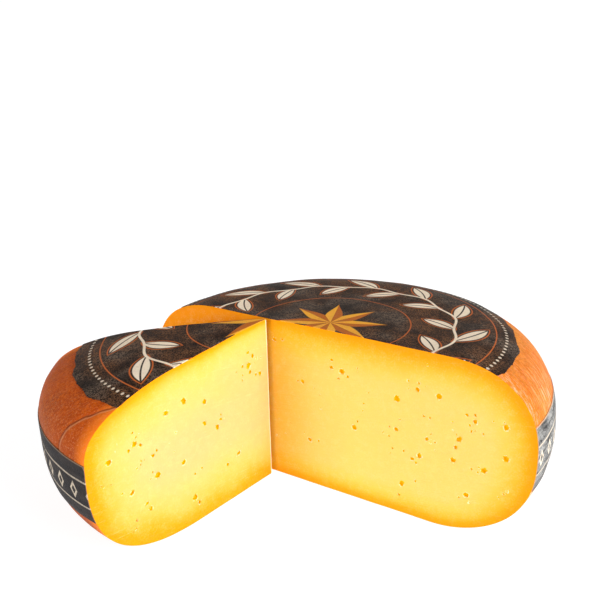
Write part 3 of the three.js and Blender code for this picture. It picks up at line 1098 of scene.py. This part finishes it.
GARLAND_RADIUS = 70.0
GARLAND_CELLS = 12
LEAF_HALF_LENGTH = 15.0
LEAF_HALF_WIDTH = 6.0
LEAF_LEAN = math.radians(38)
LEAF_STAND = 9.0
LEAF_OUTLINE = 1.0
LEAF_MARGIN = 1.7
MIDRIB_HALF = 0.3
STEM_SWING = 1.5
STEM_HALF = 0.9
INK_EDGE = 0.3
DOT_RADIUS = 97.0
DOT_COUNT = 150
DOT_HALF = 1.0
DOT_SHARE = 0.8
RING_RADII = (45.0, 91.5)
RING_HALF = 0.45
STAR_POINTS = 8
STAR_REACH = 33.0
STAR_WAIST = 13.0
STAR_CURVE = 0.6
INK_WORN = 0.25
BARE_LENGTH = 30.0
BARE_LIMITS = (0.45, 0.6)


def leaf(across, out, side):
    """How far inside a leaf of the garland a point lies, in millimetres, and from its midrib."""
    up = out * side - LEAF_STAND
    along = across * math.cos(LEAF_LEAN) + up * math.sin(LEAF_LEAN)
    off = abs(up * math.cos(LEAF_LEAN) - across * math.sin(LEAF_LEAN))
    share = along / LEAF_HALF_LENGTH
    return (1 - share * share) * LEAF_HALF_WIDTH - off, off


def turn_of(x, y):
    """How far round the wheel a place lies, from 0 to 1."""
    return y.maths("ARCTAN2", x) / FULL_TURN + 0.5


def cell_of(turn, count, shift=0.0):
    """Where in its cell, from a half before its middle to a half past it, a turn lies."""
    cells = turn * count + shift
    return cells.maths("FRACT") - 0.5


def printed(place, colour):
    """The round label's print: a garland of leaves, a dotted rim, thin rings and a middle star."""
    x, y, _ = place.parts()
    radius = (x * x + y * y) ** 0.5
    turn = turn_of(x, y)
    spacing = FULL_TURN * GARLAND_RADIUS / GARLAND_CELLS
    out = radius - GARLAND_RADIUS
    for side, shift in ((1, 0.0), (-1, 0.5)):
        inside, off = leaf(cell_of(turn, GARLAND_CELLS, shift) * spacing, out, side)
        outline = inside.between(0.0, INK_EDGE) * inside.between(LEAF_OUTLINE, LEAF_OUTLINE - INK_EDGE)
        fill = inside.between(LEAF_MARGIN, LEAF_MARGIN + INK_EDGE)
        fill = fill * off.between(MIDRIB_HALF, MIDRIB_HALF + INK_EDGE)
        colour = mixed(outline, colour, ORANGE_INK)
        colour = mixed(fill, colour, CREAM)
    stem = abs(out - STEM_SWING * (turn * (FULL_TURN * GARLAND_CELLS)).maths("SINE"))
    colour = mixed(stem.between(STEM_HALF, STEM_HALF - INK_EDGE), colour, CREAM)

    dot_across = cell_of(turn, DOT_COUNT) * (FULL_TURN * DOT_RADIUS / DOT_COUNT)
    dot_out = radius - DOT_RADIUS
    dot = (dot_across * dot_across + dot_out * dot_out) ** 0.5
    colour = mixed(dot.between(DOT_HALF, DOT_HALF - INK_EDGE) * DOT_SHARE, colour, CREAM)
    for ring_radius in RING_RADII:
        ring = abs(radius - ring_radius).between(RING_HALF, RING_HALF - INK_EDGE)
        colour = mixed(ring, colour, ORANGE_INK)

    facet = cell_of(turn, STAR_POINTS)
    spread = abs(facet) * 2
    reach = STAR_REACH + (STAR_WAIST - STAR_REACH) * spread ** STAR_CURVE
    star = (reach - radius).between(0.0, INK_EDGE)
    return mixed(star, colour, mixed(facet > 0, AMBER_INK, GOLD_INK))


def round_label_material():
    material, wire, shader = new_material("printed tissue", {"Specular IOR Level": 0.08})
    place = read(wire, "wheel_place", "Vector")
    worn = tissue(wire, place, shader)
    patchy = noise(place, BARE_LENGTH).between(*BARE_LIMITS)
    bare = mixed(patchy, TISSUE_BROWN, TISSUE_GREY)
    inked = printed(place, mixed(worn, TISSUE_DARK, bare))
    wire.fill(shader.inputs["Base Color"], mixed(worn * INK_WORN, inked, bare))
    return material


BAND_DARK = tint(34, 32, 34)
WEDGE_BAND_WEAR_AND_SHADE = tint(70, 64, 61)
HALF_BAND_WEAR_AND_SHEEN = tint(208, 207, 203)
SMEAR_LENGTHS = (14.0, 14.0, 2.5)
SMEAR_SHARE = 1.4
LEAST_SMEAR = 0.18
BAND_WEAR = 0.6
LINE_PLACES = (0.28, 0.72)
LINE_HALF = 0.6
LINE_INK = 0.75
LINE_WEAR = 0.3
LOZENGE_COUNT = 60
LOZENGE_FLAT = 0.7
LOZENGE_OUTER = 3.4
LOZENGE_INNER = 1.6
LOZENGE_WEAR = 0.4
BAND_EDGE_TINT = tint(222, 178, 138)
BAND_EDGE_SHARES = (0.03, 0.015)


def band_material(name, band, light, ink, edging):
    """A band's printed tissue, its tint where worn, which also carries painted light and shade, and
    how much its ink and its paper edge show.
    """
    material, wire, shader = new_material(name, {"Specular IOR Level": 0.05})
    place = read(wire, "wheel_place", "Vector")
    x, y, z = place.parts()
    worn = tissue(wire, place, shader)
    smear = waves(stretched(place, SMEAR_LENGTHS), 1.0, 4.0) * SMEAR_SHARE + LEAST_SMEAR
    # The worn tint carries painted light: pale on the half as painted sheen, dark on the wedge as
    # painted shade.
    colour = mixed((worn * BAND_WEAR + smear).clamped(), BAND_DARK, light)
    low, high = band
    for share in LINE_PLACES:
        height = low + (high - low) * share
        line = abs(z - height).between(LINE_HALF, LINE_HALF - INK_EDGE)
        colour = mixed(line * (ink * LINE_INK - worn * LINE_WEAR), colour, CREAM)
    cell = FULL_TURN * WHEEL_RADIUS / LOZENGE_COUNT
    across = abs(cell_of(turn_of(x, y), LOZENGE_COUNT)) * cell
    off = across + abs(z - (low + high) / 2) * LOZENGE_FLAT
    lozenge = off.between(LOZENGE_OUTER, LOZENGE_OUTER - INK_EDGE)
    lozenge = lozenge * off.between(LOZENGE_INNER, LOZENGE_INNER + INK_EDGE)
    colour = mixed(lozenge * (ink - worn * LOZENGE_WEAR), colour, CREAM)
    edge = read(wire, "width_share").between(*BAND_EDGE_SHARES)
    wire.fill(shader.inputs["Base Color"], mixed(edge * edging, colour, BAND_EDGE_TINT))
    return material


# Each band's look: its tint where worn, and how much its ink and its paper edge show. The worn tint is
# painted light: pale on the lit half as painted sheen, dark on the shaded wedge as painted shade.
HALF_BAND_LOOK = (HALF_BAND_WEAR_AND_SHEEN, 0.9, 0.8)
WEDGE_BAND_LOOK = (WEDGE_BAND_WEAR_AND_SHADE, 0.62, 0.25)

label = label_tree()
round_print = {"Tissue": round_label_material()}
half_round = {**round_extent(HALF_SECTION, HALF_LABEL_RADIUS), **round_print}
wedge_round = {**round_extent(WEDGE_SECTION, WEDGE_LABEL_RADIUS), **round_print}
half_band = band_extent(HALF_SECTION, HALF_BAND)
half_band["Tissue"] = band_material("half band", HALF_BAND, *HALF_BAND_LOOK)
wedge_band = band_extent(WEDGE_SECTION, WEDGE_BAND)
wedge_band["Tissue"] = band_material("wedge band", WEDGE_BAND, *WEDGE_BAND_LOOK)
LABELS = [
    ("half_round_tissue", "half_top_label", "top_label", {**HALF_CUT, **half_round}),
    ("wedge_round_tissue", "wedge_top_label", "top_label", {**WEDGE_CUT, **wedge_round}),
    ("half_band_tissue", "half_side_label", "side_label", {**HALF_CUT, **half_band}),
    ("wedge_band_tissue", "wedge_side_label", "side_label", {**WEDGE_CUT, **wedge_band}),
]
for name, node, slot, inputs in LABELS:
    piece = made(name, label, inputs)
    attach(piece, "root")
    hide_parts(node)


# ----------------------------
# The studio: a pale floor that glows a little, broad soft light from the right and the front, a
# weaker one from behind on the right, and a pale surround, brightest low down, dim on the left.
# ----------------------------

WHITE = (1.0, 1.0, 1.0, 1.0)
FLOOR_HALF = 40.0
FLOOR_CORNERS = ((-1, -1), (1, -1), (1, 1), (-1, 1))
FLOOR_FINISH = {
    "Base Color": (0.25, 0.25, 0.25, 1.0),
    "Roughness": 0.8,
    "Specular IOR Level": 0.0,
    "Emission Color": WHITE,
    "Emission Strength": 0.9,
}
floor_mesh = bpy.data.meshes.new("floor")
corners = [(x * FLOOR_HALF, y * FLOOR_HALF, 0.0) for x, y in FLOOR_CORNERS]
floor_mesh.from_pydata(corners, [], [(0, 1, 2, 3)])
floor = bpy.data.objects.new("floor", floor_mesh)
bpy.context.scene.collection.objects.link(floor)
floor_mesh.materials.append(new_material("floor", FLOOR_FINISH)[0])

# Each light: the direction it comes from, its strength and the width of its source in degrees.
# A strength of 1 makes a white surface that faces it white.
LIGHTS = {
    "key": ((0.92, -0.05, 0.38), 0.88, 30.0),
    "front": ((-0.25, -0.93, 0.16), 0.58, 30.0),
    "rim": ((0.72, 0.62, 0.34), 0.2, 20.0),
}
for name, (source, strength, width) in LIGHTS.items():
    data = bpy.data.lights.new(name, "SUN")
    data.energy = strength * math.pi
    data.angle = math.radians(width)
    light = bpy.data.objects.new(name, data)
    light.rotation_euler = Vector(source).to_track_quat("Z", "Y").to_euler()
    bpy.context.scene.collection.objects.link(light)

SKY_LOW = 1.03
SKY_HIGH = 0.3
SKY_LEAN = 0.24
SKY_DIM = 0.6
DIM_SIDE = (-0.86, -0.5)
DIM_SPAN = (0.5, 1.0)
LOW_BAND = (0.3, 0.12)
world = bpy.data.worlds.new("surround")
bpy.context.scene.world = world
world.use_nodes = True
air = Wire(world.node_tree)
x, y, z = air.node("ShaderNodeTexCoord", None, None, "Generated").parts()
high = SKY_HIGH + SKY_LEAN * x
dim = (DIM_SIDE[0] * x + DIM_SIDE[1] * y).between(*DIM_SPAN)
low = SKY_LOW - SKY_DIM * dim
background = world.node_tree.nodes["Background"]
background.inputs["Color"].default_value = WHITE
air.fill(background.inputs["Strength"], high + (low - high) * z.between(*LOW_BAND))

CAMERA_PLACE = (0.2130, -0.3199, 0.2373)
CAMERA_TURN = 30.97
CAMERA_PITCH = 17.65
CAMERA_ROLL = 0.2
LENS = 43.94
SENSOR_WIDTH = 36.0
SHIFT = (-0.0756, -0.008)
NEAREST = 0.01
camera_data = bpy.data.cameras.new("camera")
camera_data.lens = LENS
camera_data.sensor_width = SENSOR_WIDTH
camera_data.shift_x, camera_data.shift_y = SHIFT
camera_data.clip_start = NEAREST
camera = bpy.data.objects.new("camera", camera_data)
camera.location = CAMERA_PLACE
angles = (90 - CAMERA_PITCH, CAMERA_ROLL, CAMERA_TURN)
camera.rotation_euler = [math.radians(angle) for angle in angles]
bpy.context.scene.collection.objects.link(camera)
bpy.context.scene.camera = camera
bpy.context.scene.view_settings.view_transform = "Standard"
